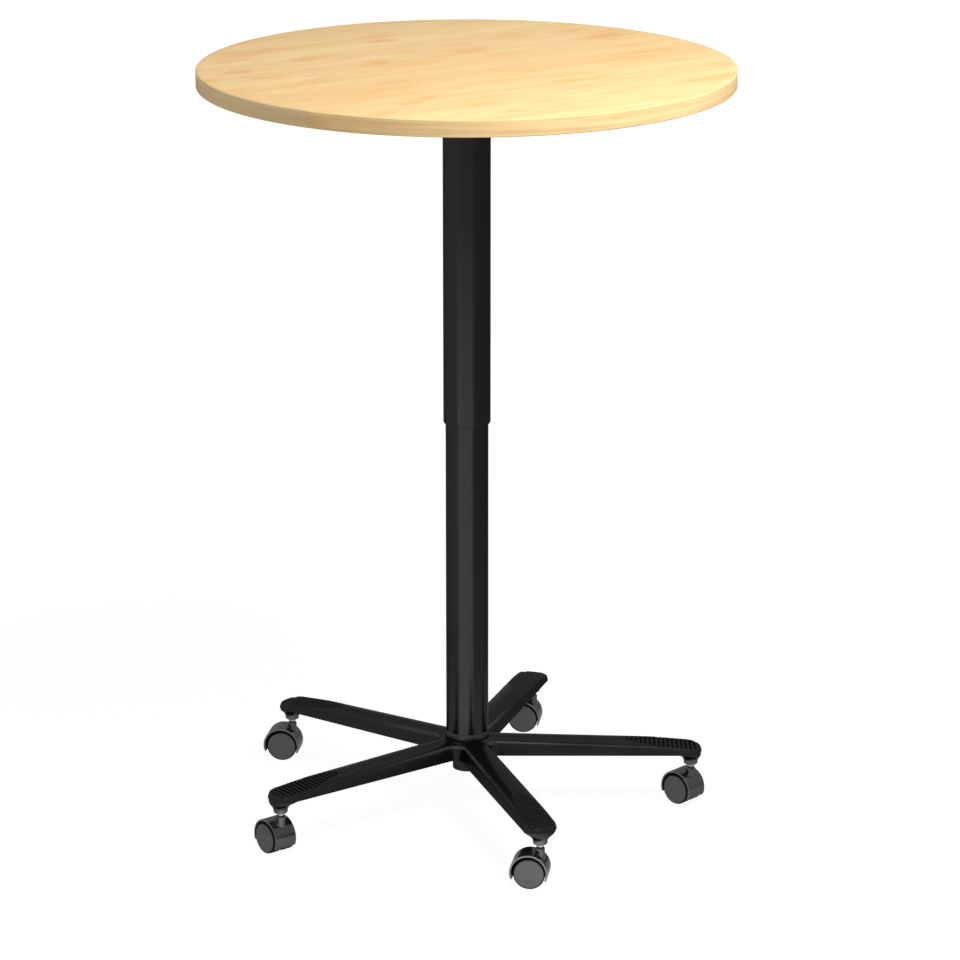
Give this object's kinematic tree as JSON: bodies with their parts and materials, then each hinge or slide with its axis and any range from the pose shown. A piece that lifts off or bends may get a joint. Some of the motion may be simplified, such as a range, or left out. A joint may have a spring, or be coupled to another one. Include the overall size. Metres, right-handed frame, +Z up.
{
  "type": "standing meeting table",
  "caption": "Round standing-height meeting table on a telescoping round column with a gas-spring height lock and a castored star base.",
  "frame": {"origin": "on the floor, on the column's axis", "axes": "+Z up, +X along arm 1 and the release lever, the front of the table is on the -Y side"},
  "size_m": [0.8, 0.8, 1.165],
  "materials": {
    "maple_board": "light maple decor, satin",
    "maple_edge": "light maple decor edge strip, satin",
    "black_coat": "black powder coat, semi-gloss",
    "zinc_steel": "zinc plated",
    "black_plastic": "moulded, fine texture",
    "pale_nylon": "natural nylon",
    "painted_cylinder": "black paint",
    "polished_rod": "polished",
    "grey_sleeve": "moulded",
    "stem_steel": "zinc plated, bright",
    "grey_hood": "moulded, satin",
    "grey_wheel": "moulded, satin"
  },
  "bodies": {
    "base": {"star_base": "black_coat", "lower_tube": "black_coat", "column_collar": "black_coat", "gas_spring_cylinder": "painted_cylinder", "upper_glide_bush": "pale_nylon", "base_nut": "zinc_steel", "base_washer": "zinc_steel", "castor_socket_1": "grey_sleeve", "castor_socket_2": "grey_sleeve", "castor_socket_3": "grey_sleeve", "castor_socket_4": "grey_sleeve", "castor_socket_5": "grey_sleeve", "castor_stem_1": "stem_steel", "castor_stem_2": "stem_steel", "castor_stem_3": "stem_steel", "castor_stem_4": "stem_steel", "castor_stem_5": "stem_steel"},
    "column_top": {"upper_tube": "black_coat", "lower_glide_bush": "pale_nylon", "piston_rod": "polished_rod", "rod_nut": "zinc_steel", "mounting_plate": "black_coat", "plate_screws": "zinc_steel", "tabletop_board": "maple_board", "edge_band": "maple_edge", "lever_pivot_pin": "zinc_steel"},
    "lever": {"release_lever": "zinc_steel", "lever_grip": "black_plastic"},
    "valve_pin": {"release_pin": "zinc_steel"},
    "castor_1": {"castor_hood_1": "grey_hood", "castor_axle_1": "stem_steel"},
    "wheel_1a": {"castor_wheel_1a": "grey_wheel"},
    "wheel_1b": {"castor_wheel_1b": "grey_wheel"},
    "castor_2": {"castor_hood_2": "grey_hood", "castor_axle_2": "stem_steel"},
    "wheel_2a": {"castor_wheel_2a": "grey_wheel"},
    "wheel_2b": {"castor_wheel_2b": "grey_wheel"},
    "castor_3": {"castor_hood_3": "grey_hood", "castor_axle_3": "stem_steel"},
    "wheel_3a": {"castor_wheel_3a": "grey_wheel"},
    "wheel_3b": {"castor_wheel_3b": "grey_wheel"},
    "castor_4": {"castor_hood_4": "grey_hood", "castor_axle_4": "stem_steel"},
    "wheel_4a": {"castor_wheel_4a": "grey_wheel"},
    "wheel_4b": {"castor_wheel_4b": "grey_wheel"},
    "castor_5": {"castor_hood_5": "grey_hood", "castor_axle_5": "stem_steel"},
    "wheel_5a": {"castor_wheel_5a": "grey_wheel"},
    "wheel_5b": {"castor_wheel_5b": "grey_wheel"}
  },
  "joints": [
    {"name": "height", "type": "slide", "parent": "base", "child": "column_top", "axis": [0, 0, 1], "range_m": [-0.38, 0]},
    {"name": "release", "type": "hinge", "parent": "column_top", "child": "lever", "pos_m": [0.03, 0, 1.131], "axis": [0, -1, 0], "range_deg": [0, 3], "stiffness_Nm_per_rad": 10, "springref_deg": -5.73},
    {"name": "valve", "type": "slide", "parent": "column_top", "child": "valve_pin", "axis": [0, 0, -1], "range_m": [0, 0.0016]},
    {"name": "swivel_1", "type": "hinge", "parent": "base", "child": "castor_1", "pos_m": [0.34809, 0, 0.0532], "axis": [0, 0, 1], "continuous": true},
    {"name": "roll_1a", "type": "hinge", "parent": "castor_1", "child": "wheel_1a", "pos_m": [0.33782, 0.00951, 0.024], "axis": [-0.6794, -0.7337, 0], "continuous": true},
    {"name": "roll_1b", "type": "hinge", "parent": "castor_1", "child": "wheel_1b", "pos_m": [0.33782, 0.00951, 0.024], "axis": [-0.6794, -0.7337, 0], "continuous": true},
    {"name": "swivel_2", "type": "hinge", "parent": "base", "child": "castor_2", "pos_m": [0.10757, 0.33105, 0.0532], "axis": [0, 0, 1], "continuous": true},
    {"name": "roll_2a", "type": "hinge", "parent": "castor_2", "child": "wheel_2a", "pos_m": [0.09374, 0.33324, 0.024], "axis": [-0.1564, -0.9877, 0], "continuous": true},
    {"name": "roll_2b", "type": "hinge", "parent": "castor_2", "child": "wheel_2b", "pos_m": [0.09374, 0.33324, 0.024], "axis": [-0.1564, -0.9877, 0], "continuous": true},
    {"name": "swivel_3", "type": "hinge", "parent": "base", "child": "castor_3", "pos_m": [-0.28161, 0.2046, 0.0532], "axis": [0, 0, 1], "continuous": true},
    {"name": "roll_3a", "type": "hinge", "parent": "castor_3", "child": "wheel_3a", "pos_m": [-0.29544, 0.20679, 0.024], "axis": [-0.1564, -0.9877, 0], "continuous": true},
    {"name": "roll_3b", "type": "hinge", "parent": "castor_3", "child": "wheel_3b", "pos_m": [-0.29544, 0.20679, 0.024], "axis": [-0.1564, -0.9877, 0], "continuous": true},
    {"name": "swivel_4", "type": "hinge", "parent": "base", "child": "castor_4", "pos_m": [-0.28161, -0.2046, 0.0532], "axis": [0, 0, 1], "continuous": true},
    {"name": "roll_4a", "type": "hinge", "parent": "castor_4", "child": "wheel_4a", "pos_m": [-0.29033, -0.19365, 0.024], "axis": [-0.7826, -0.6225, 0], "continuous": true},
    {"name": "roll_4b", "type": "hinge", "parent": "castor_4", "child": "wheel_4b", "pos_m": [-0.29033, -0.19365, 0.024], "axis": [-0.7826, -0.6225, 0], "continuous": true},
    {"name": "swivel_5", "type": "hinge", "parent": "base", "child": "castor_5", "pos_m": [0.10757, -0.33105, 0.0532], "axis": [0, 0, 1], "continuous": true},
    {"name": "roll_5a", "type": "hinge", "parent": "castor_5", "child": "wheel_5a", "pos_m": [0.09374, -0.32886, 0.024], "axis": [-0.1564, -0.9877, 0], "continuous": true},
    {"name": "roll_5b", "type": "hinge", "parent": "castor_5", "child": "wheel_5b", "pos_m": [0.09374, -0.32886, 0.024], "axis": [-0.1564, -0.9877, 0], "continuous": true}
  ],
  "couplings": [
    {"joint": "valve", "follows": "release", "m_per_rad": 0.03}
  ]
}
